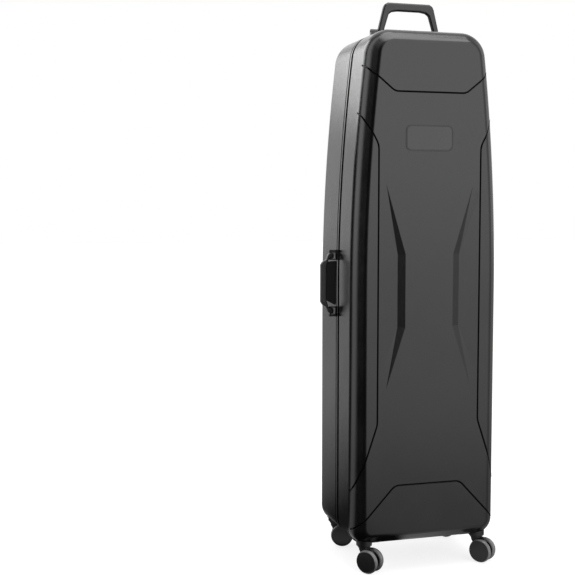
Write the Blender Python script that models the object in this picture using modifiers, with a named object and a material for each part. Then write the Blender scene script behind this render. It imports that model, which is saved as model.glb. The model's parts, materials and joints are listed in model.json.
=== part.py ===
"""Upright hard-shell snowboard case on four twin-wheel casters. Metres, +Z up, front faces -Y."""
import math
from math import cos, hypot, pi, radians, sin

import bmesh
import bpy
from mathutils import Matrix, Vector

BODY_X, BODY_Y = 0.0187, -0.00792         # moves the origin under the middle of the whole case
HW, Z0, Z1 = 0.235, 0.084, 1.626          # half width, underside and top of the shells
RB, RT, RS, ZS = 0.055, 0.080, 6.0, 0.85  # corner radii, side bow radius and where the bow starts
WALL = 0.0032
FACE_Y, BACK_Y = -0.162, 0.192
LID_EDGE, CASE_EDGE = -0.018, 0.0115       # shell edges either side of the seam
RECESS = 0.0075                           # depth of the recess foot beside the raised centre
GROOVE_R = 0.0022
CLEAR = 0.0006                            # gap under parts fixed to a shell
HINGE_X, HINGE_Y, HINGE_LOW, HINGE_TOP = -0.2335, -0.007, 0.20, 0.80
KNUCKLES = 12
LATCH_Z = {"lower_latch": 0.33, "middle_latch": 0.80, "upper_latch": 1.27}
LEVER_U, LEVER_V = 0.0066, 0.0270         # lever pivot: height above the wall, distance behind the seam
HANDLE_Y, PIN_N, PIN_R, HOLE_R = 0.0185, 0.0145, 0.0030, 0.0034
SIDE_HANDLE_Z = 0.869
TOP_HANDLE = dict(foot=.090, leg=.010, elbow=.078, top=.104, grip=.0255, lug=.124)
SIDE_HANDLE = dict(foot=.085, leg=.008, elbow=.066, top=.048, grip=.017, lug=.103)
CASTERS = {"fl": (-.187, -.118, -54), "fr": (.187, -.118, -54), "rl": (-.187, .148, -24), "rr": (.187, .148, -45)}
WHEEL_R, WHEEL_W, WHEEL_GAP, TRAIL, AXLE_R = 0.036, 0.016, 0.0155, 0.022, 0.0034
RIM_R = 0.0288                            # hub radius; the tyre starts just outside it

for old in list(bpy.data.objects):
    bpy.data.objects.remove(old, do_unlink=True)
PARTS = bpy.data.collections.new("snowboard_case")
CUTTERS = bpy.data.collections.new("cutters")
CUTTERS.hide_render = True
for coll in (PARTS, CUTTERS):
    bpy.context.scene.collection.children.link(coll)
LOOKS = {"shell": ((.012, .012, .013, 1), 0, .38), "trim": ((.010, .010, .011, 1), 0, .5),
         "metal": ((.55, .56, .58, 1), 1, .3), "rubber": ((.02, .02, .02, 1), 0, .8),
         "tread": ((.42, .43, .44, 1), 0, .55), "cloth": ((.03, .03, .033, 1), 0, .9)}


# ---------- modelling tools ----------
def cleaned(mesh):
    """Weld caps and turn the faces outward."""
    bm = bmesh.new()
    bm.from_mesh(mesh)
    bmesh.ops.remove_doubles(bm, verts=bm.verts, dist=1e-6)
    bmesh.ops.dissolve_degenerate(bm, dist=1e-6, edges=bm.edges)
    bmesh.ops.recalc_face_normals(bm, faces=bm.faces)
    bm.to_mesh(mesh)
    bm.free()
    return mesh


def evaluated(data, *modifiers):
    """Mesh of a curve or mesh after (kind, settings) modifiers."""
    obj = bpy.data.objects.new("work", data)
    CUTTERS.objects.link(obj)
    for kind, settings in modifiers:
        mod = obj.modifiers.new(kind, kind)
        for key, value in settings.items():
            setattr(mod, key, value)
    graph = bpy.context.evaluated_depsgraph_get()
    out = bpy.data.meshes.new_from_object(obj.evaluated_get(graph))
    bpy.data.objects.remove(obj, do_unlink=True)
    return out


def combine(mesh, others, op="DIFFERENCE"):
    """EXACT Boolean of a mesh with each mesh in a list."""
    tools = []
    for m in others:
        tool = bpy.data.objects.new("cutter", m)
        tool.hide_render, tool.display_type = True, "WIRE"
        CUTTERS.objects.link(tool)
        tools.append(tool)
    out = evaluated(mesh, *[("BOOLEAN", dict(object=t, operation=op, solver="EXACT")) for t in tools])
    for tool in tools:
        bpy.data.objects.remove(tool, do_unlink=True)
    return cleaned(out)


def bevelled(mesh, width, segments=2, angle=35):
    return evaluated(mesh, ("BEVEL", dict(width=width, segments=segments, limit_method="ANGLE",
                                          angle_limit=radians(angle))))


def primitive(make, matrix, **settings):
    bm = bmesh.new()
    getattr(bmesh.ops, make)(bm, **settings)
    mesh = bpy.data.meshes.new("primitive")
    bm.to_mesh(mesh)
    bm.free()
    mesh.transform(matrix)
    return mesh


def block(x0, x1, y0, y1, z0, z1):
    middle = Matrix.Translation(((x0 + x1) / 2, (y0 + y1) / 2, (z0 + z1) / 2))
    return primitive("create_cube", middle @ Matrix.Diagonal((x1 - x0, y1 - y0, z1 - z0, 1)), size=1)


AXES = {"x": Matrix.Rotation(pi / 2, 4, "Y"), "y": Matrix.Rotation(-pi / 2, 4, "X"), "z": Matrix()}


def rod(r, axis, lo, hi, through=(0, 0, 0), sides=22):
    """Cylinder along an axis from lo to hi, through a point."""
    turn = Matrix.Translation(through) @ AXES[axis] @ Matrix.Translation((0, 0, (lo + hi) / 2))
    return primitive("create_cone", turn, cap_ends=True, segments=sides, radius1=r, radius2=r, depth=hi - lo)


def curve(kind, points, **settings):
    data = bpy.data.curves.new("curve", "CURVE")
    data.dimensions = kind
    for key, value in settings.items():
        setattr(data, key, value)
    spline = data.splines.new("POLY")
    spline.points.add(len(points) - 1)
    for p, co in zip(spline.points, points):
        p.co = (*co, 1) if len(co) == 3 else (*co, 0, 1)
    spline.use_cyclic_u = kind == "2D"
    return cleaned(evaluated(data))


PLANES = {"x": Matrix(((0, 0, 1, 0), (1, 0, 0, 0), (0, 1, 0, 0), (0, 0, 0, 1))),
          "y": Matrix(((1, 0, 0, 0), (0, 0, -1, 0), (0, 1, 0, 0), (0, 0, 0, 1))), "z": Matrix()}


def plate(points, axis, lo, hi):
    """Flat outline across an axis, filled and extruded from lo to hi along it."""
    mesh = curve("2D", points, fill_mode="BOTH", extrude=(hi - lo) / 2)
    middle = -(lo + hi) / 2 if axis == "y" else (lo + hi) / 2
    mesh.transform(PLANES[axis] @ Matrix.Translation((0, 0, middle)))
    return cleaned(mesh)


def turned(profile, steps=24):
    """Closed (radius, height) profile swept round Z with Screw."""
    mesh = bpy.data.meshes.new("profile")
    count = len(profile)
    mesh.from_pydata([(r, 0, h) for r, h in profile], [(i, (i + 1) % count) for i in range(count)], [])
    return cleaned(evaluated(mesh, ("SCREW", dict(steps=steps, render_steps=steps, use_merge_vertices=True,
                                                  merge_threshold=.00001))))


def loft(rings, closed=False):
    """Skin between outlines with the same number of points."""
    n, faces = len(rings[0]), []
    for k in range(len(rings) if closed else len(rings) - 1):
        a, b = k * n, ((k + 1) % len(rings)) * n
        faces += [(a + i, a + (i + 1) % n, b + (i + 1) % n, b + i) for i in range(n)]
    verts = [tuple(p) for r in rings for p in r]
    if not closed:
        faces += [tuple(range(n)), tuple(range(len(verts) - n, len(verts)))]
    mesh = bpy.data.meshes.new("loft")
    mesh.from_pydata(verts, [], faces)
    return cleaned(mesh)


def rounded(points, radii, n=3):
    """Open line with each corner eased by its radius."""
    out = []
    for i, (p, r) in enumerate(zip(points, radii)):
        if not r:
            out.append(p)
            continue
        a, b, c = (Vector(points[i + k]) for k in (-1, 0, 1))
        turn = pi - (a - b).angle(c - b)
        cut = min(r * math.tan(turn / 2), (a - b).length * .49, (c - b).length * .49)
        s, e = b + (a - b).normalized() * cut, b + (c - b).normalized() * cut
        out += [tuple((1 - t) ** 2 * s + 2 * t * (1 - t) * b + t * t * e) for t in (k / n for k in range(n + 1))]
    return out


def place(name, mesh, look, pivot=(0, 0, 0), matrix=None):
    """Object with its own material; a moving piece has its origin at its pivot."""
    mesh.name = name
    if matrix is None:
        mesh.transform(Matrix.Translation(-Vector(pivot)))
        matrix = Matrix.Translation(pivot)
    colour, metallic, rough = LOOKS[look]
    mat = bpy.data.materials.new(name + "_" + look)
    mat.use_nodes = True
    shader = mat.node_tree.nodes["Principled BSDF"]
    shader.inputs["Base Color"].default_value = colour
    shader.inputs["Metallic"].default_value = metallic
    shader.inputs["Roughness"].default_value = rough
    mat.diffuse_color = colour
    mesh.materials.clear()
    mesh.materials.append(mat)
    mesh.shade_smooth()
    mesh.set_sharp_from_angle(angle=radians(30))
    obj = bpy.data.objects.new(name, mesh)
    PARTS.objects.link(obj)
    obj.matrix_world = Matrix.Translation((BODY_X, BODY_Y, 0)) @ matrix
    return obj


def columns(x, y, z, origin):
    """Matrix with these axes and origin."""
    m = Matrix((x, y, z)).transposed().to_4x4()
    m.translation = origin
    return m


# ---------- case outline ----------
def arc(cx, cz, r, a0, a1, n):
    return [(cx + r * cos(a0 + (a1 - a0) * i / n), cz + r * sin(a0 + (a1 - a0) * i / n)) for i in range(n + 1)]


TOP_CZ = Z1 - RT
TOP_CX = HW - RS + math.sqrt((RS - RT) ** 2 - (TOP_CZ - ZS) ** 2)
LEAN = math.atan2(TOP_CZ - ZS, TOP_CX - (HW - RS))


def outline(inset, y):
    """Case outline in the XZ plane, moved in by inset, with the same number of points for any inset."""
    half = arc(HW - RB, Z0 + RB, RB - inset, -pi / 2, 0, 7)
    half += arc(HW - RS, ZS, RS - inset, 0, LEAN, 6)
    half += arc(TOP_CX, TOP_CZ, RT - inset, LEAN, pi / 2, 8)[1:]
    return [(x, y, z) for x, z in half + [(-x, z) for x, z in reversed(half)]]


def inset_at(x, z):
    """How far inside the outline a point lies."""
    x = abs(x)
    if z < Z0 + RB and x > HW - RB:
        return RB - hypot(x - HW + RB, z - Z0 - RB)
    if z > TOP_CZ and x > TOP_CX:
        return RT - hypot(x - TOP_CX, z - TOP_CZ)
    side = HW - x if z < ZS else RS - hypot(x - HW + RS, z - ZS)
    return min(side, z - Z0, Z1 - z)


LID_PROFILE = rounded([(0, LID_EDGE), (0, -.129), (.033, FACE_Y), (.060, FACE_Y)], (0, .055, .020, 0), 4)[:-1]
CASE_PROFILE = rounded([(0, CASE_EDGE), (0, .153), (.033, .188), (.042, BACK_Y)], (0, .024, .012, 0))


def lid_y(x, z):
    """Depth of the lid's surface, its chamfer included."""
    inset = max(inset_at(x, z), 0)
    for (i0, y0), (i1, y1) in zip(LID_PROFILE[1:], LID_PROFILE[2:]):
        if inset <= i1:
            return y0 + (y1 - y0) * max(inset - i0, 0) / max(i1 - i0, 1e-9)
    return FACE_Y


def skin(profile, inset=0.0, shift=0.0, start=None):
    rings = [outline(i + inset, y + shift) for i, y in profile]
    if start is not None:
        rings[0] = outline(inset, start)
    return loft(rings)


def rim(section):
    """Closed (inset, y) section carried round the case."""
    cols = [outline(i, y) for i, y in section]
    return loft([[c[k] for c in cols] for k in range(len(cols[0]))], closed=True)


# ---------- lid and case ----------
def recess(side, deeper=0.0):
    """Pocket beside the raised centre; its floor rises to nothing at the side groove."""
    edge = [(.140, 1.171), (.077, .963), (.0765, .745), (.137, .560), (.1625, .585), (.1625, 1.146)]
    foot = [(.0995, .963), (.099, .746)]
    bm = bmesh.new()
    for x, z in edge:
        for y in (FACE_Y + deeper, FACE_Y - .02):
            bm.verts.new((side * x, y, z))
    for x, z in foot:
        bm.verts.new((side * x, FACE_Y + deeper + RECESS, z))
    bmesh.ops.convex_hull(bm, input=bm.verts)
    mesh = bpy.data.meshes.new("recess")
    bm.to_mesh(mesh)
    bm.free()
    return cleaned(mesh)


def groove_routes():
    upper = rounded([(.216, 1.542), (.180, 1.494), (.114, 1.441), (0, 1.441)], (0, .02, .02, 0))
    side = rounded([(.230, 1.418), (.199, 1.350), (.1635, 1.284), (.1635, .455), (.199, .350), (.234, .250)],
                   (0, .05, .06, .06, .05, 0))
    lower = rounded([(.233, .134), (.196, .1715), (.106, .268), (0, .268)], (0, .02, .02, 0))
    across = [[(-x, z) for x, z in half[:-1]] + half[::-1] for half in (upper, lower)]
    return across + [side, [(-x, z) for x, z in side]]


def groove_tool(route):
    points = []
    for (xa, za), (xb, zb) in zip(route, route[1:]):
        curved = min(inset_at(xa, za), inset_at(xb, zb)) < .045
        n = max(1, int(hypot(xb - xa, zb - za) / .011)) if curved else 1
        points += [(xa + (xb - xa) * i / n, za + (zb - za) * i / n) for i in range(n)]
    path = [(x, lid_y(x, z) - .0006, z) for x, z in points + [route[-1]]]
    return curve("3D", path, bevel_depth=GROOVE_R, bevel_resolution=1, use_fill_caps=True)


def make_shells():
    outer = combine(skin(LID_PROFILE), [recess(1), recess(-1)])
    outer = combine(outer, [groove_tool(r) for r in groove_routes()])
    void = combine(skin(LID_PROFILE, WALL, WALL, start=.0), [recess(1, WALL), recess(-1, WALL)])
    place("front_shell", combine(outer, [void]), "shell", (HINGE_X, HINGE_Y, 0))
    void = skin(CASE_PROFILE, WALL, -WALL, start=-.002)
    place("rear_shell", combine(skin(CASE_PROFILE), [void]), "shell")


def make_frames():
    front = [(.0036, -.030), (.0036, -.0215), (.0088, -.0215), (.0088, -.0045), (.0115, -.0045), (.0115, -.030)]
    rear = [(0, -.0030), (0, .0057), (.0006, .0062), (.0055, .0062), (.0055, .0145), (.0036, .0145), (.0036, .030),
            (.0115, .030), (.0115, .0006), (.0086, .0006), (.0086, -.0036), (.0006, -.0036)]
    seal = [(.0089, -.0037), (.0089, .0003), (.0112, .0003), (.0112, -.0037), (.01005, -.0042)]
    place("front_frame", rim(front), "trim", (HINGE_X, HINGE_Y, 0))
    place("rear_frame", rim(rear), "trim")
    place("gasket", rim(seal), "rubber")


def make_linings():
    front = [(.0042, -.031), (.0042, -.108), (.0110, -.1205), (.0335, -.1450)]
    rear = [(.0042, .031), (.0042, .138), (.0120, .1545), (.034, .1770), (.047, .1835)]
    for name, line, way, pivot in (("front_lining", front, 1, (HINGE_X, HINGE_Y, 0)), ("rear_lining", rear, -1, (0, 0, 0))):
        void = loft([outline(i + .002, y + way * (.002 if k else .01)) for k, (i, y) in enumerate(line)])
        place(name, combine(skin(line), [void]), "cloth", pivot)
    for name, z, w in (("upper_strap", 1.22, .207), ("lower_strap", .50, .218)):
        line = [(-w, .146), (-w + .022, .118), (-w + .050, .108), (w - .050, .108), (w - .022, .118), (w, .146)]
        band = line + [(x * .992, y + .002) for x, y in reversed(line)]
        place(name, plate(band, "z", z - .019, z + .019), "cloth")


# ---------- hinge and latches ----------
def make_hinge():
    """Two interleaved leaves; the knuckles of each are joined to its plate by tabs."""
    step = (HINGE_TOP - HINGE_LOW) / KNUCKLES
    for name, first, sign in (("hinge_leaf_rear", 0, 1), ("hinge_leaf_front", 1, -1)):
        y0, y1 = sorted((sign * .0011, sign * .0021))
        joined = []
        for k in range(first, KNUCKLES, 2):
            a, b = HINGE_LOW + k * step + .0004, HINGE_LOW + (k + 1) * step - .0004
            joined.append(block(.0012, .0032, y0 + .00002, y1 - .00002, a + .001, b - .001))
            joined.append(turned([(.0014, b), (.0023, b), (.0023, a), (.0014, a)], 12))
        leaf = combine(block(.0028, .0054, y0, y1, HINGE_LOW + .001, HINGE_TOP - .001), joined, "UNION")
        leaf.transform(Matrix.Translation((HINGE_X, HINGE_Y, 0)))
        place(name, leaf, "trim", (HINGE_X, HINGE_Y, 0))
    place("hinge_pin", rod(.0010, "z", HINGE_LOW, HINGE_TOP, (HINGE_X, HINGE_Y, 0)), "metal")


def wall_frame(z):
    """X out of the right wall, Y backward, Z up along the wall."""
    lean = math.asin(max(z - ZS, 0) / RS)
    out, up = Vector((cos(lean), 0, sin(lean))), Vector((-sin(lean), 0, cos(lean)))
    return columns(out, Vector((0, 1, 0)), up, (HW - RS + RS * cos(lean), 0, ZS + RS * sin(lean) if z > ZS else z))


def latch_base():
    u, v = LEVER_U, LEVER_V
    cheek = [(.001, v - .004), (u, v - .004), (u + .0032, v - .0024), (u + .0040, v), (u + .0032, v + .0024),
             (u, v + .004), (.001, v + .004)]
    cheeks = [plate(cheek, "z", s * .0180 - .0022, s * .0180 + .0022) for s in (-1, 1)]
    base = combine(bevelled(block(CLEAR, .0032, .0125, .044, -.0225, .0225), .0008, 1), cheeks, "UNION")
    return combine(base, [rod(.0017, "z", -.03, .03, (u, v, 0))])


def latch_lever():
    u, v = LEVER_U, LEVER_V
    blade = [(.0052, v - .004), (.0052, -.026), (.0066, -.0335), (.0086, -.0365), (.0094, -.034), (.0086, -.026),
             (.0086, v - .004)]
    joined = [rod(.0034, "z", -.0150, .0150, (u, v, 0)), block(.004, .0095, v - .0052, v - .003, -.0129, .0129),
              rod(.0013, "z", -.0198, .0198, (u, v, 0))]
    return combine(plate(blade, "z", -.0130, .0130), joined, "UNION")


def make_latches():
    keep = [(CLEAR, -.0330), (CLEAR, -.0185), (.0026, -.0185), (.0046, -.0200), (.0046, -.0235), (.0026, -.0250),
            (.0026, -.0330)]
    for name, z in LATCH_Z.items():
        m = wall_frame(z)
        place(name + "_base", latch_base(), "metal", matrix=m)
        lever = latch_lever()
        lever.transform(Matrix.Translation((-LEVER_U, -LEVER_V, 0)))
        place(name + "_lever", lever, "metal", matrix=m @ Matrix.Translation((LEVER_U, LEVER_V, 0)))
        keeper = plate(keep, "z", -.0160, .0160)
        keeper.transform(m)
        place(name + "_keeper", keeper, "metal", (HINGE_X, HINGE_Y, 0))


# ---------- handles ----------
def bail_mesh(h):
    """U-shaped handle: X along the grip, Z away from the shell, feet drilled for the pins."""
    f, w, e, top, low = h["foot"], h["leg"], h["elbow"], h["top"], h["top"] - h["grip"]
    k = min(1.0, (low - PIN_N) / .055)
    outer = [(f + w, PIN_N - .0070), (f + w, PIN_N + .009), (e + .006, top - .016), (e + .001, top - .006), (e - .009, top)]
    inner = [(f - w, PIN_N - .0070), (f - w, PIN_N + .0085), (e - .010 * k - .002, low - .010 * k),
             (e - .018 * k - .004, low - .003 * k), (e - .034 * k - .008, low)]
    other = [(-u, n) for u, n in reversed(outer)] + [(-u, n) for u, n in inner]
    bail = bevelled(plate(outer + other + inner[::-1], "y", -.0082, .0082), .0030, 2, 50)
    return combine(bail, [rod(HOLE_R, "x", -.15, .15, (0, 0, PIN_N), 16)])


def bracket_mesh(h):
    """Foot plate with a cheek on each side of the bail's leg."""
    f, w, end = h["foot"], h["leg"], h["lug"]
    start = f - w - .0050
    cheek = [(-.0075, .0012), (.0075, .0012)] + \
            [(.0070 * cos(a), PIN_N + .0070 * sin(a)) for a in (pi * k / 8 for k in range(9))]
    cheeks = [plate(cheek, "x", a, b) for a, b in ((start, start + .0040), (f + w + .0010, end))]
    body = combine(block(start, end, -.009, .009, CLEAR, .0026), cheeks, "UNION")
    return combine(body, [rod(HOLE_R, "x", 0, .2, (0, 0, PIN_N), 16)])


def make_handle(name, m, h):
    bail = bail_mesh(h)
    bail.transform(Matrix.Translation((0, 0, -PIN_N)))
    place(name + "_bail", bail, "trim", matrix=m @ Matrix.Translation((0, 0, PIN_N)))
    turn = Matrix.Rotation(pi, 4, "Z")
    for tag, way in (("a", turn), ("b", Matrix())):
        place(name + "_bracket_" + tag, bracket_mesh(h), "trim", matrix=m @ way)
        pin = rod(PIN_R, "x", h["foot"] - h["leg"] - .0046, h["lug"] - .004, (0, 0, PIN_N), 16)
        place(name + "_pin_" + tag, pin, "metal", matrix=m @ way)


# ---------- casters ----------
def mount_mesh(x, y):
    """Flange on the flat underside with a two-step turret whose boss follows the shell's rounded edge."""
    side, front = (1 if x > 0 else -1), y < 0
    under = [(.134, -.0028)] + [(HW - RB + (RB + .0028) * sin(a), RB - (RB + .0028) * cos(a))
                                for a in (radians(d) for d in (0, 12, 24, 36, 43))]
    section = [(side * u, Z0 + n) for u, n in under + [(under[-1][0], Z0 + .030), (.134, Z0 + .030)]]
    wing = plate(section, "y", *((-.1100, -.0620) if front else (.0880, .1420)))
    steps = [rod(.0240, "z", .0790, .1150, (x, y, 0), 28), rod(.0212, "z", .0782, .0800, (x, y, 0), 28)]
    shell = skin(LID_PROFILE, -CLEAR, -CLEAR, .02) if front else skin(CASE_PROFILE, -CLEAR, CLEAR, -.02)
    return combine(combine(wing, steps, "UNION"), [shell])


def fork_mesh():
    """Trail along +X, axle along Y, swivel axis at the origin."""
    t, wr = TRAIL, WHEEL_R
    leg = [(-.0165, .0755), (-.0150, .0650), (-.0030, .0440), (t - .0105, .0300), (t - .0060, .0250), (t, .0235),
           (t + .0060, .0250), (t + .0110, .0320), (t + .0120, .0420), (t + .0140, .0600), (t + .0080, .0755)]
    hood = arc(t, wr, wr + .0016, radians(64), radians(136), 9) + arc(t, wr, wr + .0032, radians(136), radians(64), 9)
    fork = combine(plate(leg, "y", -.0062, .0062), [rod(.0195, "z", .0744, .0778, sides=26),
                                                    plate(hood, "y", -.0215, .0215)], "UNION")
    return combine(fork, [rod(AXLE_R + .0005, "y", -.03, .03, (t, 0, wr), 18)])


def hub_mesh():
    """Outer side up: a dish with a blind bore on its inner side."""
    w, bore = WHEEL_W / 2, AXLE_R + .0005
    return turned([(0, w), (.0150, w - .0004), (RIM_R - .0032, w - .0010), (RIM_R - .0020, w - .0018),
                   (RIM_R, w - .0010), (RIM_R, -w + .0012), (RIM_R - .0030, -w + .0010), (RIM_R - .0044, -.0020),
                   (.0090, -.0020), (.0072, -w + .0006), (bore, -w + .0006), (bore, w - .0036), (0, w - .0036)], 20)


def tyre_mesh():
    w, inner = WHEEL_W / 2, RIM_R + .0003
    side = [(inner, w - .0006), (WHEEL_R - .0042, w - .0002), (WHEEL_R - .0010, w - .0030), (WHEEL_R, w - .0062)]
    return turned(side + [(r, -h) for r, h in reversed(side)])


def make_casters():
    for tag, (x, y, angle) in CASTERS.items():
        swivel = Matrix.Translation((x, y, 0)) @ Matrix.Rotation(radians(angle), 4, "Z")
        pivot = (HINGE_X, HINGE_Y, 0) if y < 0 else (0, 0, 0)
        place("caster_%s_mount" % tag, mount_mesh(x, y), "trim", pivot)
        place("caster_%s_fork" % tag, fork_mesh(), "trim", matrix=swivel)
        axle = rod(AXLE_R, "y", -.0185, .0185, (TRAIL, 0, WHEEL_R), 18)
        place("caster_%s_axle" % tag, axle, "metal", matrix=swivel)
        for wheel, s in (("a", 1), ("b", -1)):
            turn = swivel @ Matrix.Translation((TRAIL, s * WHEEL_GAP, WHEEL_R)) @ Matrix.Rotation(-s * pi / 2, 4, "X")
            place("caster_%s_hub_%s" % (tag, wheel), hub_mesh(), "trim", matrix=turn)
            place("caster_%s_tyre_%s" % (tag, wheel), tyre_mesh(), "tread", matrix=turn)


make_shells()
make_frames()
make_linings()
make_hinge()
make_latches()
make_handle("top_handle", Matrix.Translation((0, HANDLE_Y, Z1)), TOP_HANDLE)
OUTWARD = columns(Vector((0, 0, 1)), Vector((0, 1, 0)), Vector((-1, 0, 0)), (-HW, HANDLE_Y, SIDE_HANDLE_Z))
make_handle("side_handle", OUTWARD, SIDE_HANDLE)
make_casters()
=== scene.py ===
"""Looks of the upright hard-shell snowboard case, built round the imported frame."""
import json
import math
from math import cos, hypot, pi, radians, sin

import bmesh
import bpy
from mathutils import Matrix, Vector


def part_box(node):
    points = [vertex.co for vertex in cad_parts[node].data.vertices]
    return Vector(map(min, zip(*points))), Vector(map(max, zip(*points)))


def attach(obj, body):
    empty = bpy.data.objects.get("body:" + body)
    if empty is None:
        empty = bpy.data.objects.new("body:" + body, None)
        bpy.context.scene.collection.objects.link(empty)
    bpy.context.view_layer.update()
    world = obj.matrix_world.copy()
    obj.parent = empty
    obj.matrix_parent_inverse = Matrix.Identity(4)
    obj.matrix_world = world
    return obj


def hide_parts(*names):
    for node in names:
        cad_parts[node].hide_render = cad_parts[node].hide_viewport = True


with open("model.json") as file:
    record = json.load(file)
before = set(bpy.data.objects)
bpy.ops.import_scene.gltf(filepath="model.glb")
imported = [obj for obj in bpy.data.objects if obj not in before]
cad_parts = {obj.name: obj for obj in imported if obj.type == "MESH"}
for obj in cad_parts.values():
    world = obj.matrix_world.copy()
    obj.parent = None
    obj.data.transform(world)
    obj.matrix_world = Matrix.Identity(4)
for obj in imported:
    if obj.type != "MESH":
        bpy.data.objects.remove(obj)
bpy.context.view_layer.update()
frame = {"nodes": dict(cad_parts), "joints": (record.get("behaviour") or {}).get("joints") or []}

JOINTS = {j["name"]: j for j in frame["joints"]}
LATCHES = ("lower_latch", "middle_latch", "upper_latch")
CASTERS = ("fl", "fr", "rl", "rr")

# ---------- sizes ----------
SHELL_LO, SHELL_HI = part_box("front_shell")
SHELL_MID = (SHELL_LO.x + SHELL_HI.x) / 2
HALF_W = (SHELL_HI.x - SHELL_LO.x) / 2
BASE_Z, TOP_Z = SHELL_LO.z, SHELL_HI.z
LID_DEPTH = .162
SEAM = SHELL_LO.y + LID_DEPTH                    # middle of the seam
FACE_Y = SHELL_LO.y - SEAM                       # flat face of the lid, from the seam
BACK_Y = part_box("rear_shell")[1].y - SEAM        # flat back of the case, from the seam
BOTTOM_R = .055                                  # lower corners of the outline
TOP_R = .080                                     # upper corners of the outline
BOW_R = 6.0                                      # the sides lean in along this radius
BOW_Z = .85                                      # height where they start to lean in
TOP_ARC_Z = TOP_Z - TOP_R                        # centre of an upper corner
TOP_ARC_X = HALF_W - BOW_R + math.sqrt((BOW_R - TOP_R) ** 2 - (TOP_ARC_Z - BOW_Z) ** 2)
LEAN = math.atan2(TOP_ARC_Z - BOW_Z, TOP_ARC_X - (HALF_W - BOW_R))
ARC_STEPS = 18
WALL = .0032
CLEAR = .0006                                    # gap under parts fixed to a shell
FLANGE = .0028                                   # a caster mount's flange below the shell
PIN_OUT = .0145                                  # a handle's pins, measured out from the shell
RIM_R = .0288                                    # hub of a wheel
CAP_R = .0332                                    # outer cap of a wheel


def at(x, y, z):
    """Point given from the case's middle plane, its seam and the floor."""
    return Vector((SHELL_MID + x, SEAM + y, z))


def on_case(mesh):
    """The mesh, drawn from the middle plane, the seam and the floor, moved to its place."""
    mesh.transform(Matrix.Translation(at(0, 0, 0)))
    return mesh


# ---------- node helpers ----------
class Tree:
    """A node tree with short calls for the nodes used here."""

    def __init__(self, tree):
        self.tree = tree

    def feed(self, node, key, value):
        """Link a socket to an input, or set the input's value. The key is a name or an index."""
        if isinstance(value, bpy.types.NodeSocket):
            self.tree.links.new(value, node.inputs[key])
        else:
            node.inputs[key].default_value = value

    def node(self, kind, **inputs):
        n = self.tree.nodes.new(kind)
        for key, value in inputs.items():
            self.feed(n, key, value)
        return n

    def math(self, op, a, b=0.0):
        n = self.node("ShaderNodeMath")
        n.operation = op
        self.feed(n, 0, a)
        self.feed(n, 1, b)
        return n.outputs[0]

    def place(self, kind="Object"):
        """Texture coordinates of one kind."""
        return self.node("ShaderNodeTexCoord").outputs[kind]

    def split(self, vector):
        """The X, Y and Z of a vector."""
        return self.node("ShaderNodeSeparateXYZ", Vector=vector).outputs

    def noise(self, scale, detail=3.0):
        n = self.node("ShaderNodeTexNoise", Scale=scale, Detail=detail, Vector=self.place())
        return n.outputs["Fac"]

    def range(self, value, lo, hi, to_lo, to_hi, smooth=False):
        """The value moved from the range lo to hi into the range to_lo to to_hi."""
        n = self.node("ShaderNodeMapRange", Value=value)
        n.interpolation_type = "SMOOTHSTEP" if smooth else "LINEAR"
        for key, v in (("From Min", lo), ("From Max", hi), ("To Min", to_lo), ("To Max", to_hi)):
            self.feed(n, key, v)
        return n.outputs[0]

    def mix(self, fac, a, b):
        """Colour between a and b. The node's colours are its inputs 6 and 7 and its output 2."""
        n = self.node("ShaderNodeMix")
        n.data_type = "RGBA"
        self.feed(n, 0, fac)
        self.feed(n, 6, (*a, 1))
        self.feed(n, 7, (*b, 1))
        return n.outputs[2]


class Material(Tree):
    """A Principled material."""

    def __init__(self, name, colour, rough, metallic=0.0, specular=.5):
        self.mat = bpy.data.materials.new(name)
        self.mat.use_nodes = True
        self.mat.diffuse_color = (*colour, 1)
        super().__init__(self.mat.node_tree)
        self.shader = self.tree.nodes["Principled BSDF"]
        self.set("Base Color", (*colour, 1))
        self.set("Roughness", rough)
        self.set("Metallic", metallic)
        self.set("Specular IOR Level", specular)

    def set(self, key, value):
        """Set or link one of the shader's inputs."""
        self.feed(self.shader, key, value)

    def bump(self, height, strength, distance):
        """Bump on top of any that the material has."""
        n = self.node("ShaderNodeBump", Strength=strength, Distance=distance, Height=height)
        before = self.shader.inputs["Normal"].links
        if before:
            self.feed(n, "Normal", before[0].from_socket)
        self.set("Normal", n.outputs[0])


# ---------- materials ----------
def wear(m, base, worn, rough):
    """Faint scuffs and handling marks: colour and roughness vary slowly."""
    cloud = m.noise(9, 4)
    fine = m.noise(140, 3)
    m.set("Base Color", m.mix(m.range(cloud, .35, .75, 0, 1, True), base, worn))
    m.set("Roughness", m.range(m.math("MULTIPLY", cloud, fine), .12, .40, rough - .04, rough + .06))


def shell_material():
    """Black ABS embossed with small diamonds."""
    rough, pitch, tall = .17, .0022, .72
    m = Material("case_shell_black", (.0045, .0045, .0048), rough)
    wear(m, (.0042, .0042, .0045), (.006, .006, .0064), rough)
    u, v, _ = m.split(m.place("UV"))
    rise = m.math("MULTIPLY", v, tall)
    waves = []
    for op in ("ADD", "SUBTRACT"):
        slant = m.math("MULTIPLY", m.math(op, u, rise), pi / pitch)
        waves.append(m.math("ABSOLUTE", m.math("SINE", slant)))
    diamond = m.math("MULTIPLY", *waves)
    m.bump(m.math("POWER", diamond, .6), .12, .0004)
    return m.mat


def moulded_material(name, colour, rough, grain=900):
    """Plain moulded plastic or rubber with a fine grain."""
    m = Material(name, colour, rough)
    wear(m, colour, tuple(c * 1.35 + .001 for c in colour), rough)
    m.bump(m.noise(grain, 2), .12, .0002)
    return m.mat


def metal_material(name, colour, rough):
    """Satin metal, unevenly polished."""
    m = Material(name, colour, rough, 1.0)
    m.set("Roughness", m.range(m.noise(60, 5), .3, .7, rough - .05, rough + .10))
    m.bump(m.noise(1500, 2), .05, .0001)
    return m.mat


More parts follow.
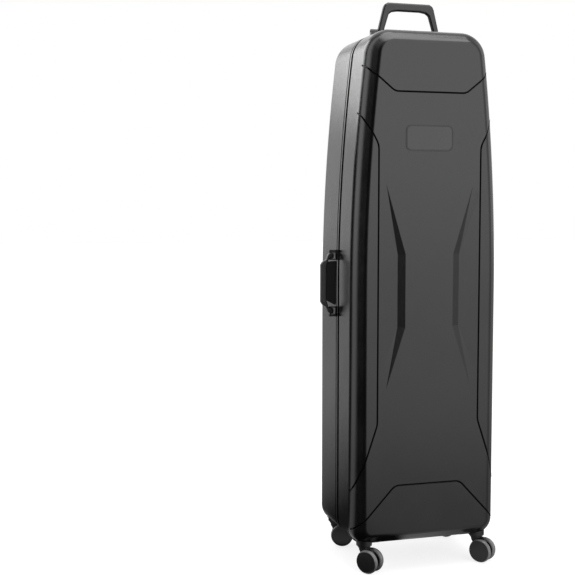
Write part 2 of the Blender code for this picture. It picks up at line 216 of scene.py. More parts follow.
def tread_material():
    """Grey tyre with dirty patches."""
    m = Material("wheel_tread_grey", (.17, .17, .175), .42)
    dirt = m.range(m.noise(45, 5), .48, .70, 0, 1, True)
    m.set("Base Color", m.mix(dirt, (.18, .18, .185), (.11, .11, .11)))
    m.set("Roughness", m.range(m.noise(70, 4), .3, .7, .40, .58))
    m.bump(m.noise(700, 3), .10, .0003)
    return m.mat


def cloth_material(name, colour, quilt=False):
    """Plain weave, with quilting lines where asked for."""
    thread, quilt_pitch, valley = .0016, .030, .012
    m = Material(name, colour, .92, 0, .25)
    m.set("Sheen Weight", .25)
    x, y, z = m.split(m.place())
    side = m.math("ADD", x, y)
    weave = m.math("MULTIPLY", m.math("SINE", m.math("MULTIPLY", side, 2 * pi / thread)),
                   m.math("SINE", m.math("MULTIPLY", z, 2 * pi / thread)))
    # The weave's raised crossings are painted lighter and its hollows darker: the weave is the cloth's own
    # texture, the contrast that follows its height is painted highlight and shade.
    thread_hollow_shade, light = (tuple(c * k for c in colour) for k in (.65, 1.5))
    m.set("Base Color", m.mix(m.range(weave, -1, 1, 0, 1), thread_hollow_shade, light))
    m.bump(weave, .35, .0004)
    if quilt:
        rows = [m.math("PINGPONG", m.math(op, side, z), quilt_pitch) for op in ("ADD", "SUBTRACT")]
        m.bump(m.math("MINIMUM", *[m.range(r, 0, valley, 0, 1, True) for r in rows]), .8, .003)
    return m.mat


LOOK = {
    "shell": shell_material(),
    "trim": moulded_material("case_trim_black", (.006, .006, .0065), .36),
    "gloss": moulded_material("case_gloss_black", (.008, .008, .009), .22, 400),
    "badge": moulded_material("case_badge_black", (.012, .012, .013), .16, 300),
    "cap": moulded_material("wheel_cap_black", (.010, .010, .011), .34, 500),
    "metal": metal_material("case_metal_satin", (.50, .51, .53), .30),
    "dark_metal": metal_material("case_metal_black", (.05, .05, .055), .34),
    "rubber": moulded_material("case_seal_rubber", (.012, .012, .012), .75, 1800),
    # Dead black for the front frame and hinge leaves, and for the painted shade in the grooves, the seam's
    # gaps and behind the side handle.
    "black_trim_and_painted_shade": Material("case_black_trim_and_painted_shade", (.002, .002, .002), .9, 0, .05).mat,
    "tread": tread_material(),
    "cloth": cloth_material("case_lining_charcoal", (.030, .031, .034), True),
    "webbing": cloth_material("case_webbing_black", (.018, .018, .020)),
}


# ---------- mesh helpers ----------
def solid(verts, faces):
    """Mesh with its normals turned outwards and repeated points merged."""
    mesh = bpy.data.meshes.new("solid")
    mesh.from_pydata([tuple(v) for v in verts], [], faces)
    bm = bmesh.new()
    bm.from_mesh(mesh)
    bmesh.ops.remove_doubles(bm, verts=bm.verts, dist=1e-7)
    bmesh.ops.recalc_face_normals(bm, faces=bm.faces)
    bm.to_mesh(mesh)
    bm.free()
    return mesh


def loft(rings, loop=False):
    """Skin through rings of equal length: closed into a loop, or capped at both ends."""
    n = len(rings[0])
    verts = [p for r in rings for p in r]
    faces = []
    for k in range(len(rings) if loop else len(rings) - 1):
        a, b = k * n, ((k + 1) % len(rings)) * n
        faces += [(a + i, a + (i + 1) % n, b + (i + 1) % n, b + i) for i in range(n)]
    if not loop:
        faces += [tuple(range(n)), tuple(range(len(verts) - n, len(verts)))]
    return solid(verts, faces)


def evaluated(mesh, *setups):
    """The mesh after modifiers, each given as (kind, {setting: value})."""
    obj = bpy.data.objects.new("work", mesh)
    bpy.context.scene.collection.objects.link(obj)
    for kind, settings in setups:
        mod = obj.modifiers.new(kind, kind)
        for key, value in settings.items():
            setattr(mod, key, value)
    graph = bpy.context.evaluated_depsgraph_get()
    out = bpy.data.meshes.new_from_object(obj.evaluated_get(graph))
    bpy.data.objects.remove(obj, do_unlink=True)
    return out


def boolean(mesh, cutters, op="DIFFERENCE"):
    """The mesh less the cutters, or joined with them."""
    objects = []
    for m in cutters:
        o = bpy.data.objects.new("cutter", m)
        bpy.context.scene.collection.objects.link(o)
        objects.append(o)
    out = evaluated(mesh, *[("BOOLEAN", {"object": o, "operation": op, "solver": "EXACT"}) for o in objects])
    for o in objects:
        bpy.data.objects.remove(o, do_unlink=True)
    bm = bmesh.new()
    bm.from_mesh(out)
    bmesh.ops.remove_doubles(bm, verts=bm.verts, dist=2e-6)
    bmesh.ops.dissolve_degenerate(bm, dist=1e-6, edges=bm.edges)
    bm.to_mesh(out)
    bm.free()
    return out


def bevelled(mesh, width, segments=3, angle=30):
    """The mesh with edges sharper than the angle rounded off."""
    return evaluated(mesh, ("BEVEL", {"width": width, "segments": segments, "limit_method": "ANGLE",
                                      "angle_limit": radians(angle), "harden_normals": False}))


def primitive(make, matrix, **settings):
    """A mesh from one of bmesh's own shapes."""
    bm = bmesh.new()
    getattr(bmesh.ops, make)(bm, **settings)
    mesh = bpy.data.meshes.new("primitive")
    bm.to_mesh(mesh)
    bm.free()
    mesh.transform(matrix)
    return mesh


def block(x0, x1, y0, y1, z0, z1):
    """Box between the given limits."""
    middle = Matrix.Translation(((x0 + x1) / 2, (y0 + y1) / 2, (z0 + z1) / 2))
    size = Matrix.Diagonal((x1 - x0, y1 - y0, z1 - z0, 1))
    return primitive("create_cube", middle @ size, size=1)


def cylinder(r, z0, z1, n, matrix):
    """Cylinder along the matrix's Z."""
    return primitive("create_cone", matrix @ Matrix.Translation((0, 0, (z0 + z1) / 2)), cap_ends=True,
                     segments=n, radius1=r, radius2=r, depth=z1 - z0)


def prism(points, axis, lo, hi):
    """Flat outline drawn out along an axis."""
    put = {"x": lambda p, t: (t, p[0], p[1]),
           "y": lambda p, t: (p[0], t, p[1]),
           "z": lambda p, t: (p[0], p[1], t)}[axis]
    return loft([[put(p, t) for p in points] for t in (lo, hi)])


def turned(profile, n):
    """Closed (radius, height) section turned about Z."""
    rings = []
    for i in range(n):
        c, s = cos(2 * pi * i / n), sin(2 * pi * i / n)
        rings.append([(r * c, r * s, h) for r, h in profile])
    return loft(rings, loop=True)


def rounded(points, radii, n, closed=False):
    """The polyline with each inner corner turned into a curve of about the given radius."""
    out, count = [], len(points)
    for i, p in enumerate(points):
        r = radii[i] if isinstance(radii, list) else radii
        if r == 0 or (not closed and i in (0, count - 1)):
            out.append(tuple(p))
            continue
        a, b, c = (Vector(points[(i + k) % count]).to_2d() for k in (-1, 0, 1))
        da, dc = (a - b), (c - b)
        turn = pi - da.angle(dc)
        cut = min(r * math.tan(turn / 2), da.length * .49, dc.length * .49)
        s, e = b + da.normalized() * cut, b + dc.normalized() * cut
        for k in range(n + 1):
            t = k / n
            out.append(tuple((1 - t) ** 2 * s + 2 * t * (1 - t) * b + t * t * e))
    return out


def join(meshes):
    bm = bmesh.new()
    for m in meshes:
        bm.from_mesh(m)
    out = bpy.data.meshes.new("joined")
    bm.to_mesh(out)
    bm.free()
    return out


def box_uv(mesh):
    """Flat projection of each face along its main direction, in metres."""
    layer = mesh.uv_layers[0] if mesh.uv_layers else mesh.uv_layers.new(name="emboss")
    for poly in mesh.polygons:
        n = [abs(c) for c in poly.normal]
        pick = (1, 2) if n[0] >= max(n[1], n[2]) else ((0, 2) if n[1] >= n[2] else (0, 1))
        for k in poly.loop_indices:
            co = mesh.vertices[mesh.loops[k].vertex_index].co
            layer.data[k].uv = (co[pick[0]], co[pick[1]])


def piece(name, mesh, look, body, replaces=(), smooth=32):
    """A visible piece of one look that rides a body, and replaces CAD nodes where given."""
    mesh.name = name
    mesh.materials.clear()
    mesh.materials.append(LOOK[look])
    for poly in mesh.polygons:
        poly.use_smooth = True
        poly.material_index = 0
    mesh.set_sharp_from_angle(angle=radians(smooth))
    obj = bpy.data.objects.new(name, mesh)
    bpy.context.scene.collection.objects.link(obj)
    mod = obj.modifiers.new("shading", "WEIGHTED_NORMAL")
    mod.mode = "FACE_AREA"
    mod.weight = 100
    mod.keep_sharp = True
    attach(obj, body)
    if replaces:
        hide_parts(*replaces)
    return obj


# ---------- case outline ----------
def arc(cx, cz, r, a0, a1):
    """Points on an arc, both ends included."""
    turns = [a0 + (a1 - a0) * i / ARC_STEPS for i in range(ARC_STEPS + 1)]
    return [(cx + r * cos(a), cz + r * sin(a)) for a in turns]


def outline(inset, y):
    """Ring round the case at one depth, a given distance inside its silhouette."""
    half = arc(HALF_W - BOTTOM_R, BASE_Z + BOTTOM_R, BOTTOM_R - inset, -pi / 2, 0)
    half += arc(HALF_W - BOW_R, BOW_Z, BOW_R - inset, 0, LEAN)
    half += arc(TOP_ARC_X, TOP_ARC_Z, TOP_R - inset, LEAN, pi / 2)[1:]
    return [at(x, y, z) for x, z in half + [(-x, z) for x, z in reversed(half)]]


def inset_at(x, z):
    """How far a point lies inside the silhouette."""
    x = abs(x)
    if z < BASE_Z + BOTTOM_R and x > HALF_W - BOTTOM_R:
        return BOTTOM_R - hypot(x - HALF_W + BOTTOM_R, z - BASE_Z - BOTTOM_R)
    if z > TOP_ARC_Z and x > TOP_ARC_X:
        return TOP_R - hypot(x - TOP_ARC_X, z - TOP_ARC_Z)
    side = HALF_W - x if z < BOW_Z else BOW_R - hypot(x - HALF_W + BOW_R, z - BOW_Z)
    return min(side, z - BASE_Z, TOP_Z - z)


# Sections of the shells as (inset, depth from the seam), from the open edge to the flat face.
FRONT_PROFILE = rounded([(0, -.018), (0, -.129), (.033, FACE_Y), (.060, FACE_Y)],
                        [0, .055, .020, 0], 8)[:-1]
REAR_PROFILE = rounded([(0, .0115), (0, .1530), (.033, BACK_Y - .004), (.042, BACK_Y)],
                       [0, .024, .012, 0], 6)


def front_y(x, z):
    """Depth of the lid's outer surface at (x, z), chamfer included."""
    inset = max(inset_at(x, z), 0)
    for (i0, y0), (i1, y1) in zip(FRONT_PROFILE[1:], FRONT_PROFILE[2:]):
        if inset <= i1:
            return y0 + (y1 - y0) * max(inset - i0, 0) / max(i1 - i0, 1e-9)
    return FACE_Y


def shell_loft(profile, extra=0.0, shift=0.0, start=None):
    """Solid through the profile, moved inwards by extra; start moves its open end."""
    rings = [outline(i + extra, y + shift) for i, y in profile]
    if start is not None:
        rings[0] = outline(profile[0][0] + extra, start)
    return loft(rings)


def ring(section):
    """Frame round the seam with a section given as (inset, depth)."""
    columns = [outline(i, y) for i, y in section]
    return loft([[c[k] for c in columns] for k in range(len(columns[0]))], loop=True)


# ---------- lid ----------
GROOVE_R = .0027
FLAT_INSET = .045                                # the lid's face is flat from here inwards
RECESS_DEPTH = .0075
RECESS_X = .166                                  # limits of the facets, a little past the recesses
RECESS_Z = (.55, 1.19)


def recess(side, deeper=0.0):
    """Sloped pocket beside the raised centre; its floor runs out at the side groove."""
    rim = [(.140, 1.171), (.077, .963), (.0765, .745), (.137, .560), (.1625, .585), (.1625, 1.146)]
    foot = [(.0995, .963), (.099, .746)]
    y, above = FACE_Y + deeper, FACE_Y - .02
    v = [at(side * x, y, z) for x, z in rim]
    v += [at(side * x, y + RECESS_DEPTH, z) for x, z in foot]
    v += [at(side * x, above, z) for x, z in rim]
    faces = [(0, 1, 6), (1, 2, 7, 6), (2, 3, 7), (3, 4, 7), (4, 5, 6, 7), (5, 0, 6), tuple(range(8, 14))]
    faces += [(i, (i + 1) % 6, 8 + (i + 1) % 6, 8 + i) for i in range(6)]
    return solid(v, faces)


def groove_routes():
    """Middle lines of the upper, lower, right and left grooves as (x, z)."""
    upper = rounded([(.216, 1.542), (.180, 1.494), (.114, 1.441), (0, 1.441)], [0, 0, .035, 0], 6)
    side = rounded([(.230, 1.418), (.199, 1.350), (.1635, 1.284),
                    (.1635, .455), (.199, .350), (.234, .250)], [0, .05, .06, .06, .05, 0], 6)
    lower = rounded([(.233, .134), (.196, .1715), (.106, .268), (0, .268)], [0, 0, .035, 0], 6)
    whole = [[(-x, z) for x, z in half[:-1]] + half[::-1] for half in (upper, lower)]
    return whole + [side, [(-x, z) for x, z in side]]


def on_front(route, deeper=0.0):
    """The route laid on the lid, in short steps where the lid is curved."""
    out, step = [], .006
    for (xa, za), (xb, zb) in zip(route, route[1:]):
        curved = min(inset_at(xa, za), inset_at(xb, zb)) < FLAT_INSET
        n = max(1, int(hypot(xb - xa, zb - za) / step)) if curved else 1
        out += [(xa + (xb - xa) * i / n, za + (zb - za) * i / n) for i in range(n)]
    return [at(x, front_y(x, z) + deeper, z) for x, z in out + [route[-1]]]


def tube(path, r, n=10, flat=1.0):
    """Round bar along the path; a flat below 1 makes it thinner across the face."""
    rings = []
    turns = [2 * pi * k / n for k in range(n)]
    for i, p in enumerate(path):
        d = (path[min(i + 1, len(path) - 1)] - path[max(i - 1, 0)]).normalized()
        side = d.cross(Vector((0, 1, 0))).normalized()
        up = side.cross(d)
        rings.append([p + side * (r * cos(a)) + up * (r * flat * sin(a)) for a in turns])
    return loft(rings)


def crease(mesh):
    """Crisp edges on the shallow facets of the two recesses."""
    shallow = radians(4)
    bm = bmesh.new()
    bm.from_mesh(mesh)
    for edge in bm.edges:
        if len(edge.link_faces) != 2 or edge.calc_face_angle() < shallow:
            continue
        ends = [v.co - at(0, 0, 0) for v in edge.verts]
        if all(abs(c.x) < RECESS_X and RECESS_Z[0] < c.z < RECESS_Z[1] and c.y < FACE_Y + .012
               for c in ends):
            edge.smooth = False
    bm.to_mesh(mesh)
    bm.free()


def make_lid():
    """Front shell with its recesses and grooves, hollow inside, and a black tube sunk in each groove as
    painted shade.
    """
    outer = boolean(shell_loft(FRONT_PROFILE), [recess(1), recess(-1)])
    outer = boolean(outer, [tube(on_front(r), GROOVE_R) for r in groove_routes()])
    void = shell_loft(FRONT_PROFILE, WALL, .003, start=.0)
    void = boolean(void, [recess(1, WALL), recess(-1, WALL)])
    mesh = boolean(outer, [void])
    box_uv(mesh)
    crease(piece("lid_shell", mesh, "shell", "lid", ["front_shell"], 24).data)
    # Black tubes sunk in the grooves: painted shade along the groove floors.
    shade_depth, edge_gap = .0019, .004
    groove_shade_tubes = []
    for route in groove_routes():
        inside = [p for p in on_front(route, shade_depth) if inset_at(p.x - SHELL_MID, p.z) > edge_gap]
        groove_shade_tubes.append(tube(inside, GROOVE_R * .82, 8, .28))
    piece("lid_groove_painted_shade", join(groove_shade_tubes), "black_trim_and_painted_shade", "lid")


def badge_plate(grow, y0, y1):
    """Plate with rounded corners, grown on every side, between two distances before the face."""
    x0, x1, z0, z1, corner = -.079, .072, 1.268, 1.345, .020
    points = [(x0 - grow, z0 - grow), (x1 + grow, z0 - grow),
              (x1 + grow, z1 + grow), (x0 - grow, z1 + grow)]
    return on_case(prism(rounded(points, corner + grow, 8, True), "y", FACE_Y - y0, FACE_Y - y1))


def make_badge():
    """A blank raised plate with a thin border."""
    rim = boolean(badge_plate(0, .0014, .0001), [badge_plate(-.0035, .003, .0008)])
    piece("lid_badge_rim", bevelled(rim, .0003, 2), "trim", "lid")
    plate = badge_plate(-.0042, .0011, .0006)
    piece("lid_badge_plate", bevelled(plate, .0002, 2), "badge", "lid")


# ---------- case ----------
def make_rear():
    """Rear shell, hollow inside."""
    void = shell_loft(REAR_PROFILE, WALL, -.003, start=-.002)
    mesh = boolean(shell_loft(REAR_PROFILE), [void])
    box_uv(mesh)
    piece("rear_case_shell", mesh, "shell", "case", ["rear_shell"], 24)


def make_frames():
    """Frames of both halves, the seal, and two thin black strips beside the bead as painted shade in the
    seam's gaps.
    """
    front = [(.0036, -.030), (.0036, -.0215), (.0088, -.0215), (.0088, -.0050),
             (.0093, -.0045), (.0115, -.0045), (.0115, -.030)]
    bead = [(0, -.0028), (0, .0054), (.0003, .0060), (.0009, .0062), (.0055, .0062),
            (.0055, .0145), (.0036, .0145), (.0036, .030), (.0115, .030), (.0115, .0006),
            (.0086, .0006), (.0086, -.0036), (.0009, -.0036), (.0003, -.0034)]
    seal = [(.0089, -.0037), (.0089, .0003), (.0112, .0003), (.0112, -.0037), (.01005, -.0043)]
    piece("lid_frame_ring", ring(front), "black_trim_and_painted_shade", "lid", ["front_frame"])
    piece("case_frame_ring", ring(bead), "gloss", "case", ["rear_frame"])
    piece("case_seal_ring", ring(seal), "rubber", "case", ["gasket"])
    # Two black sheets in the gaps beside the bead: painted shade.
    for name, i0, i1, y0, y1 in (("bead_gap_painted_shade", .0010, .0085, -.0040, -.0037),
                                 ("shell_gap_painted_shade", .0002, .0031, .0110, .0114)):
        strip = ring([(i0, y0), (i0, y1), (i1, y1), (i1, y0)])
        piece("case_" + name, strip, "black_trim_and_painted_shade", "case")


# ---------- inside ----------
def make_lining(name, body, node, section, way):
    """Quilted cloth inside one half; way is the sign of its depth from the seam."""
    thick, open_end = .002, .01
    section = rounded(section, [0] + [.012] * (len(section) - 2) + [0], 4)
    void = loft([outline(i + thick, y + way * (thick if k else open_end))
                 for k, (i, y) in enumerate(section)])
    cloth = boolean(loft([outline(i, y) for i, y in section]), [void])
    piece(name + "_cloth", cloth, "cloth", body, [node])


def make_linings():
    lid = [(.0042, -.031), (.0042, -.108), (.0110, -.1205), (.0335, -.1450)]
    case = [(.0042, .031), (.0042, .138), (.0120, .1545), (.034, .1770), (.047, .1835)]
    make_lining("lid_lining", "lid", "front_lining", lid, 1)
    make_lining("case_lining", "case", "rear_lining", case, -1)


def make_strap(tag):
    """Web across the case with a side-release buckle in its middle."""
    lo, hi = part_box(tag + "_strap")
    mid_z, half, w = (lo.z + hi.z) / 2, (hi.z - lo.z) / 2, (hi.x - lo.x) / 2
    back, front = hi.y - SEAM - .002, lo.y - SEAM
    line = rounded([(-w, back), (-w + .022, front + .010), (-w + .050, front), (w - .050, front),
                    (w - .022, front + .010), (w, back)], [0, .03, .05, .05, .03, 0], 6)
    band = line + [(x * .992, y + .002) for x, y in reversed(line)]
    web = on_case(prism(band, "z", mid_z - half, mid_z + half))
    piece(tag + "_strap_web", web, "webbing", "case", [tag + "_strap"])
    plate = bevelled(block(-.034, .034, -.0025, .0025, -.024, .024), .0022)
    slots = [block(s * .026 - .003, s * .026 + .003, -.01, .01, -.0195, .0195) for s in (-1, 1)]
    gaps = [block(-.0165, -.0145, -.01, -.0012, -.03, .03),
            block(-.014, .012, -.01, -.0016, -.0125, -.0105),
            block(-.014, .012, -.01, -.0016, .0105, .0125)]
    buckle = boolean(plate, slots + gaps)
    buckle.transform(Matrix.Translation(at(0, front - .003, mid_z)))
    piece(tag + "_strap_buckle", buckle, "trim", "case")


# ---------- handles ----------
# Each loop, as half sizes along it and heights out from the shell:
# middle of the foot, half width of the leg, elbow, top of the grip, thickness of the grip.
HANDLES = {"top_handle": (.090, .010, .078, .104, .0255),
           "side_handle": (.085, .008, .066, .048, .017)}


def handle_frame(name):
    """Matrix from a loop's own frame, X along it and Z out from the shell, to its place."""
    lo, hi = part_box(name + "_bail")
    mid = (lo + hi) / 2
    if name == "top_handle":
        return Matrix.Translation((mid.x, mid.y, TOP_Z))
    return Matrix(((0, 0, -1, SHELL_MID - HALF_W), (0, -1, 0, mid.y), (-1, 0, 0, mid.z), (0, 0, 0, 1)))


def loop_outline(name):
    """Outline of a loop as (along, out): outer edge from foot to foot, then the inner edge back."""
    foot, leg, elbow, top, grip = HANDLES[name]
    low = top - grip
    k = min(1.0, (low - PIN_OUT) / .055)             # smaller inner corners on a low loop
    outer = rounded([(foot + leg, PIN_OUT - .0070), (foot + leg, PIN_OUT + .009),
                     (elbow + .006, top - .016), (elbow + .001, top - .006),
                     (elbow - .009, top)], [0, .02, .010, .010, 0], 4)
    inner = rounded([(foot - leg, PIN_OUT - .0070), (foot - leg, PIN_OUT + .0085),
                     (elbow - .010 * k - .002, low - .010 * k),
                     (elbow - .018 * k - .004, low - .003 * k),
                     (elbow - .034 * k - .008, low)], [0, .012, .010, .010, 0], 4)
    mirrored = [(-u, n) for u, n in reversed(outer)] + [(-u, n) for u, n in inner]
    return outer + mirrored + inner[::-1]


def make_handle(name, body):
    """Soft-edged loop bored for its pins, with fine grooves across the inside of the grip."""
    _, _, elbow, top, grip = HANDLES[name]
    low, half_thick, count = top - grip, .0082, 16
    soft = .0062 if name == "top_handle" else .0030
    loop = bevelled(prism(loop_outline(name), "y", -half_thick, half_thick), soft, 5, 50)
    along = Matrix.Translation((0, 0, PIN_OUT)) @ Matrix.Rotation(pi / 2, 4, "Y")
    loop = boolean(loop, [cylinder(.0034, -.15, .15, 24, along)])
    grooves = []
    for i in range(count):
        x = -elbow * .62 + i * elbow * 1.24 / (count - 1)
        grooves.append(block(x - .0006, x + .0006, -.012, .012, low - .002, low + .0009))
    loop = boolean(loop, grooves)
    loop.transform(handle_frame(name))
    piece(name + "_loop", loop, "trim", body, [name + "_bail"])


def make_handle_painted_shade():
    """Black sheet on the wall behind the side handle, painted shade where the handle darkens the wall."""
    lo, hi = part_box("side_handle_bail")
    z = (lo.z + hi.z) / 2
    front = (lo.y + hi.y) / 2 - SEAM - .0045
    back = front + .110
    line = rounded([(front, z - .069), (back, z - .060), (back, z + .060), (front, z + .069)], .010, 6, True)
    # A black sheet laid on the wall: painted shade behind the handle.
    shade_sheet = on_case(prism(line, "x", -HALF_W - .0005, -HALF_W + .0009))
    piece("side_handle_painted_shade", shade_sheet, "black_trim_and_painted_shade", "case")


# ---------- hardware ----------
def screw(name, place, r, body):
    """Pan head with a cross recess; Z of its place points out of the surface."""
    head = turned([(0, 0), (r, 0), (r, r * .18), (r * .86, r * .40), (r * .5, r * .52), (0, r * .56)], 32)
    arm, slim, floor = r * .5, r * .09, r * .22
    head = boolean(head, [block(-arm, arm, -slim, slim, floor, r), block(-slim, slim, -arm, arm, floor, r)])
    head.transform(place)
    piece(name, head, "dark_metal", body)


def facing(origin, out, up=(0, 0, 1)):
    """Matrix at the origin with its Z along out."""
    z = Vector(out).normalized()
    x = Vector(up).cross(z)
    x = (x if x.length > 1e-3 else Vector((1, 0, 0))).normalized()
    y = z.cross(x)
    return Matrix(((x.x, y.x, z.x, origin[0]),
                   (x.y, y.y, z.y, origin[1]),
                   (x.z, y.z, z.z, origin[2]),
                   (0, 0, 0, 1)))


def dress_cad(node, look, bevel=0.0):
    """A better material and softened edges on a CAD node that stays."""
    obj = frame["nodes"][node]
    obj.data.materials.clear()
    obj.data.materials.append(LOOK[look])
    weld = obj.modifiers.new("weld", "WELD")
    weld.merge_threshold = .00001
    if bevel:
        mod = obj.modifiers.new("edges", "BEVEL")
        mod.width = bevel
        mod.segments = 2
        mod.limit_method = "ANGLE"
        mod.angle_limit = radians(35)
        mod.harden_normals = False
    obj.data.polygons.foreach_set("use_smooth", [True] * len(obj.data.polygons))
    obj.data.set_sharp_from_angle(angle=radians(30))


def make_latches():
    """Satin metal on the latches, and two screws on each base."""
    for latch in LATCHES:
        dress_cad(latch + "_base", "metal", .0006)
        dress_cad(latch + "_lever", "metal", .0006)
        dress_cad(latch + "_keeper", "metal", .0004)
        swing = JOINTS[latch + "_swing"]
        along = Vector(swing["axis"])
        out = Vector((along.z, 0, -along.x))
        for tag, s in (("a", -1), ("b", 1)):
            spot = Vector(swing["pos_m"]) - out * .0033 + along * (s * .0145) + Vector((0, .0120, 0))
            screw("%s_screw_%s" % (latch, tag), facing(spot, out), .0027, "case")


def dress_fittings():
    """Looks of the hinge and of the handles' brackets and pins."""
    dress_cad("hinge_leaf_rear", "black_trim_and_painted_shade")
    dress_cad("hinge_leaf_front", "black_trim_and_painted_shade")
    dress_cad("hinge_pin", "dark_metal")
    for handle in HANDLES:
        for tag in "ab":
            dress_cad("%s_bracket_%s" % (handle, tag), "trim", .0006)
            dress_cad("%s_pin_%s" % (handle, tag), "metal")


# ---------- casters ----------
def caster_frame(tag):
    """Matrix with X along the trail, Y along the axle, at the swivel axis on the floor; and the trail."""
    pivot = Vector(JOINTS["caster_%s_swivel" % tag]["pos_m"])
    a, b = (Vector(JOINTS["wheel_%s_%s_spin" % (tag, w)]["pos_m"]) for w in "ab")
    x = (a + b) / 2 - pivot
    x.z = 0
    trail = x.length
    x.normalize()
    place = Matrix(((x.x, -x.y, 0, pivot.x), (x.y, x.x, 0, pivot.y), (0, 0, 1, 0), (0, 0, 0, 1)))
    return place, trail


def tyre_mesh(r, w):
    section = [(RIM_R, -w + .0006), (RIM_R + .0016, -w + .0001), (r - .0009, -w + .0024), (r, .0),
               (r - .0006, w - .0036), (RIM_R + .0030, w + .0001), (RIM_R, w - .0006)]
    return turned(rounded(section, [0, .002, .005, .03, .006, .004, 0], 5), 72)


def hub_mesh(w):
    """Hub with a bored boss and spokes, open to the inside."""
    rim = [(.0039, -w + .0010), (.0068, -w + .0006), (.0080, -.0016), (RIM_R - .0044, -.0016),
           (RIM_R - .0036, -w + .0014), (RIM_R - .0020, -w + .0008), (RIM_R - .0003, -w + .0012),
           (RIM_R - .0003, w - .0010), (RIM_R - .0010, w - .0004), (RIM_R - .0022, w - .0006),
           (RIM_R - .0028, w - .0026), (0, w - .0026), (0, w - .0060), (.0039, w - .0060)]
    spokes, count = [], 16
    for i in range(count):
        spoke = block(.0072, RIM_R - .0040, -.0006, .0006, -w + .0020, -.0012)
        spoke.transform(Matrix.Rotation(2 * pi * i / count, 4, "Z"))
        spokes.append(spoke)
    return join([turned(rim, 72)] + spokes)


def cap_mesh(w):
    """Plain cap over the outer side."""
    section = [(0, w - .0024), (RIM_R - .0030, w - .0024), (RIM_R - .0030, w + .0003),
               (CAP_R - .0006, w + .0003), (CAP_R, w + .0008), (CAP_R - .0020, w + .0016),
               (CAP_R - .0034, w + .0012), (.0150, w + .0015), (0, w + .0016)]
    return turned(rounded(section, [0, 0, 0, .0004, .0006, .0006, .0010, .02, 0], 4), 72)


def make_wheel(tag, wheel):
    """Tyre, hub and cap of one wheel, from its spin joint."""
    joint = JOINTS["wheel_%s_%s_spin" % (tag, wheel)]
    out = Vector(joint["axis"]) * (1 if wheel == "a" else -1)
    place, body = facing(joint["pos_m"], out), "wheel_%s_%s" % (tag, wheel)
    r, w = joint["pos_m"][2], .008                   # the axle's height is the wheel's radius
    for name, mesh, look, slot, node in (
            ("tyre", tyre_mesh(r, w), "tread", "tread", "caster_%s_tyre_%s"),
            ("hub", hub_mesh(w), "trim", "trim", "caster_%s_hub_%s"),
            ("cap", cap_mesh(w), "cap", "trim", None)):
        mesh.transform(place)
        replaced = [node % (tag, wheel)] if node else ()
        piece("wheel_%s_%s_%s" % (tag, wheel, name), mesh, look, body, replaced)


def make_fork(tag):
    """Web between the two wheels under a round swivel plate."""
    place, trail = caster_frame(tag)
    axle_z = JOINTS["wheel_%s_a_spin" % tag]["pos_m"][2]
    side = rounded([(-.0165, .0755), (-.0150, .0650), (-.0030, .0440), (trail - .0105, .0300),
                    (trail, .0228), (trail + .0110, .0290), (trail + .0120, .0420),
                    (trail + .0140, .0600), (trail + .0080, .0755)],
                   [0, .01, .02, .01, .010, .008, .02, .02, 0], 4)
    web = bevelled(prism(side, "y", -.0061, .0061), .0012, 3, 40)
    plate = turned([(0, .0744), (.0190, .0744), (.0195, .0749),
                    (.0195, .0773), (.0191, .0778), (0, .0778)], 48)
    through = Matrix.Translation((trail, 0, axle_z)) @ Matrix.Rotation(pi / 2, 4, "X")
    fork = boolean(boolean(web, [plate], "UNION"), [cylinder(.0039, -.03, .03, 24, through)])
    fork.transform(place)
    piece("caster_%s_yoke" % tag, fork, "trim", "caster_" + tag, ["caster_%s_fork" % tag])
    dress_cad("caster_%s_axle" % tag, "metal")


def make_mount(tag):
    """Thin flange on the flat underside and a two-step turret whose boss follows the shell."""
    side, front = (-1 if tag[1] == "l" else 1), tag[0] == "f"
    body = "lid" if front else "case"
    y0, y1 = (-.1100, -.0620) if front else (.0880, .1420)
    inner, reach, above = .134, BOTTOM_R + FLANGE, BASE_Z + .030
    curve = [(HALF_W - BOTTOM_R + reach * sin(radians(d)), BASE_Z + BOTTOM_R - reach * cos(radians(d)))
             for d in range(0, 44, 3)]
    points = [(inner, BASE_Z - FLANGE)] + curve + [(curve[-1][0], above), (inner, above)]
    wing = bevelled(on_case(prism([(side * u, n) for u, n in points], "y", y0, y1)), .0010, 2, 50)
    turret = turned([(0, .0784), (.0205, .0784), (.0211, .0790), (.0212, .0800), (.0232, .0802),
                     (.0240, .0810), (.0240, .1150), (0, .1150)], 64)
    pivot = JOINTS["caster_%s_swivel" % tag]["pos_m"]
    turret.transform(Matrix.Translation((pivot[0], pivot[1], 0)))
    grown = (FRONT_PROFILE, -CLEAR, -CLEAR, .02) if front else (REAR_PROFILE, -CLEAR, CLEAR, -.02)
    mount = boolean(boolean(wing, [turret], "UNION"), [shell_loft(*grown)])
    piece("caster_%s_bracket" % tag, mount, "trim", body, ["caster_%s_mount" % tag])
    for k, y in enumerate((.012, .036)):
        spot = at(side * .146, y0 + y, BASE_Z - FLANGE)
        screw("caster_%s_screw_%d" % (tag, k), facing(spot, (0, 0, -1), (0, 1, 0)), .0030, body)


def make_casters():
    for tag in CASTERS:
        make_mount(tag)
        make_fork(tag)
        for wheel in "ab":
            make_wheel(tag, wheel)


# ---------- studio ----------
SURROUND = 2.25                                  # strength of the brightest card
# Brightness of the cards by bearing, in degrees from +Y toward -X.
CARDS = [(0, .44), (27, .44), (34, .01), (60, .01), (70, 1), (96, 1), (106, .003), (166, .003),
         (182, 1), (215, 1), (238, .50), (262, .30), (290, .22), (315, .34), (328, .50), (360, .50)]


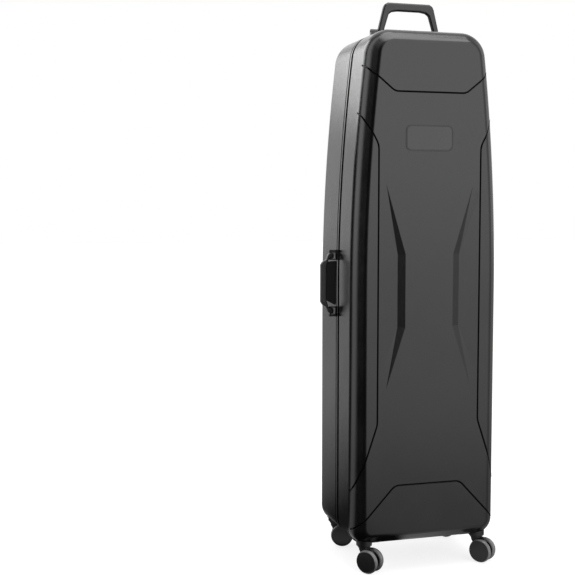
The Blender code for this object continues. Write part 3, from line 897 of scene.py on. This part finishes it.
def bearing_ramp(nodes, x, y):
    """Brightness of the cards in the direction (x, y)."""
    bearing = nodes.math("ARCTAN2", x, nodes.math("MULTIPLY", y, -1.0))
    ramp = nodes.node("ShaderNodeValToRGB", Fac=nodes.range(bearing, -pi, pi, 0, 1))
    while len(ramp.color_ramp.elements) < len(CARDS):
        ramp.color_ramp.elements.new(.5)
    for element, (angle, value) in zip(ramp.color_ramp.elements, CARDS):
        element.position = angle / 360
        element.color = (value, value, value, 1)
    return ramp.outputs["Color"]


def make_world():
    """Bright cards with dark gaps between them and a dim ceiling; the camera sees plain white."""
    world = bpy.data.worlds.new("studio")
    bpy.context.scene.world = world
    world.use_nodes = True
    nodes = Tree(world.node_tree)
    white = (1, 1, 1, 1)
    x, y, z = nodes.split(nodes.place("Generated"))
    ceiling = nodes.range(z, .45, .85, 0, .24, True)
    light = nodes.math("MAXIMUM", bearing_ramp(nodes, x, y), ceiling)
    surround = nodes.tree.nodes["Background"]
    nodes.feed(surround, "Color", white)
    nodes.feed(surround, "Strength", nodes.math("MULTIPLY", light, SURROUND))
    backdrop = nodes.node("ShaderNodeBackground", Color=white)
    seen = nodes.node("ShaderNodeLightPath").outputs["Is Camera Ray"]
    pick = nodes.node("ShaderNodeMixShader")
    for i, source in enumerate((seen, surround.outputs[0], backdrop.outputs[0])):
        nodes.feed(pick, i, source)
    nodes.feed(nodes.tree.nodes["World Output"], "Surface", pick.outputs[0])


def make_floor():
    """White to the camera; to the object it glows like the cards, less with distance."""
    grey, glow_part, seen_white = (.30, .30, .30), .62, .80
    bpy.ops.mesh.primitive_plane_add(size=60, location=(0, 0, 0))
    floor = bpy.context.object
    floor.name = "studio_floor"
    m = Material("studio_floor_white", grey, .9, 0, .1)
    m.set("Emission Color", (1, 1, 1, 1))
    seen = m.node("ShaderNodeLightPath").outputs["Is Camera Ray"]
    x, y, _ = m.split(m.place())
    away = m.math("SQRT", m.math("ADD", m.math("MULTIPLY", x, x), m.math("MULTIPLY", y, y)))
    cards = m.math("MULTIPLY", bearing_ramp(m, x, y), SURROUND * glow_part)
    glow = m.math("MULTIPLY", cards, m.range(away, .2, 3.4, .45, 1, True))
    m.set("Base Color", m.mix(seen, (0, 0, 0), grey))
    m.set("Emission Strength", m.math("ADD", m.math("MULTIPLY", glow, m.math("SUBTRACT", 1.0, seen)),
                                      m.math("MULTIPLY", seen, seen_white)))
    floor.data.materials.append(m.mat)


def area(name, location, target, size, power):
    """Round lamp aimed at a point."""
    data = bpy.data.lights.new(name, "AREA")
    data.shape = "DISK"
    data.size = size
    data.energy = power
    light = bpy.data.objects.new(name, data)
    bpy.context.scene.collection.objects.link(light)
    light.location = location
    light.rotation_euler = (Vector(target) - Vector(location)).to_track_quat("-Z", "Y").to_euler()


def make_camera():
    """The photo's view: from the front left, a little above the middle, looking slightly down."""
    tilt_down, turn = 4.25, -16.3
    data = bpy.data.cameras.new("camera")
    data.lens = 66.4
    data.sensor_width = 36
    data.clip_end = 200
    cam = bpy.data.objects.new("camera", data)
    bpy.context.scene.collection.objects.link(cam)
    cam.location = at(-1.295, -3.079, 1.098)
    cam.rotation_euler = (radians(90 - tilt_down), 0, radians(turn))
    bpy.context.scene.camera = cam
    bpy.context.scene.view_settings.view_transform = "Standard"


make_lid()
make_badge()
make_rear()
make_frames()
make_linings()
make_strap("upper")
make_strap("lower")
make_handle("top_handle", "top_grip")
make_handle("side_handle", "side_grip")
make_handle_painted_shade()
make_latches()
dress_fittings()
make_casters()
make_world()
make_floor()
area("overhead", (.3, -.6, 3.6), (0, 0, .4), 2.4, 42)
area("rear_fill", (-1.6, 2.4, 2.6), (0, 0, .6), 2.0, 30)
make_camera()
